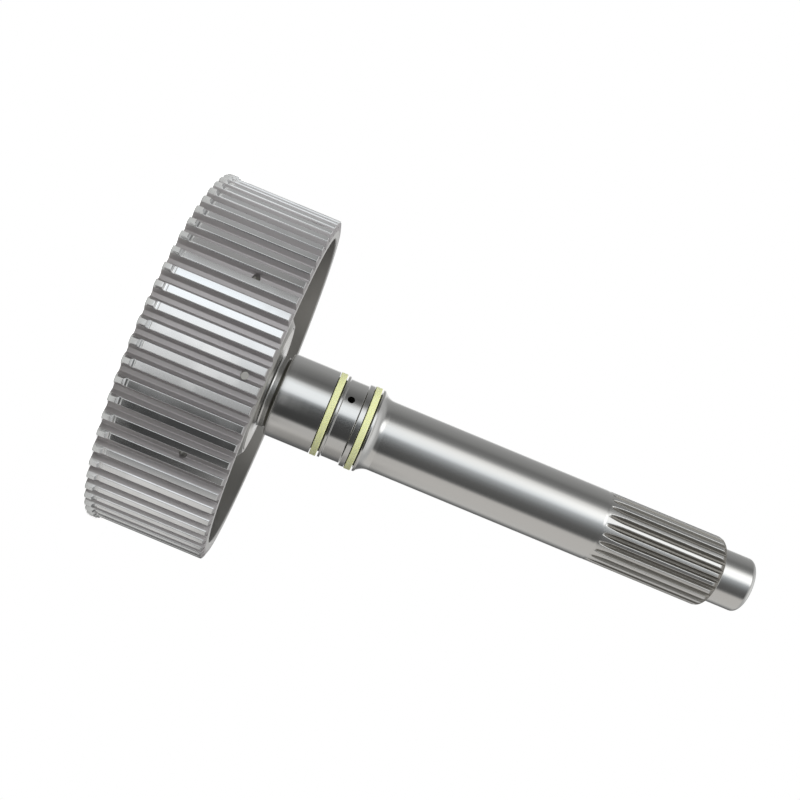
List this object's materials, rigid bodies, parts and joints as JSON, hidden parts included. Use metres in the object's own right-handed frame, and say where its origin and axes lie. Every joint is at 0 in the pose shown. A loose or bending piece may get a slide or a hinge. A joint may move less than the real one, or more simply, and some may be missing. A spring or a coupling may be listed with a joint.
{
  "type": "transmission shaft",
  "caption": "Automatic transmission turbine shaft with a splined clutch hub drum, two sealing rings between oil lands, a long ground shaft, a driving spline and a rounded pilot.",
  "frame": {"origin": "centre of the drum's rear end face, on the shaft's axis, which is what the part stands on", "axes": "+Z along the shaft from the drum to the pilot; -Y faces the viewer of the picture"},
  "size_m": [0.1568, 0.1568, 0.2695],
  "materials": {
    "shaft_steel": "ground and turned steel",
    "hub_steel": "hobbed and turned steel",
    "ring_polymer": "pale yellow filled polymer, satin",
    "bushing_bronze": "bored bronze, satin",
    "plug_steel": "drawn steel cup, satin"
  },
  "bodies": {
    "shaft": {"turbine_shaft": "shaft_steel", "clutch_hub": "hub_steel", "rear_bushing": "bushing_bronze", "gallery_plug": "plug_steel"},
    "rear_ring": {"rear_sealing_ring": "ring_polymer"},
    "front_ring": {"front_sealing_ring": "ring_polymer"}
  },
  "joints": [
    {"name": "rear_ring_turn", "type": "hinge", "parent": "shaft", "child": "rear_ring", "pos_m": [0, 0, 0.07643], "axis": [0, 0, 1], "continuous": true},
    {"name": "front_ring_turn", "type": "hinge", "parent": "shaft", "child": "front_ring", "pos_m": [0, 0, 0.09243], "axis": [0, 0, 1], "continuous": true}
  ]
}
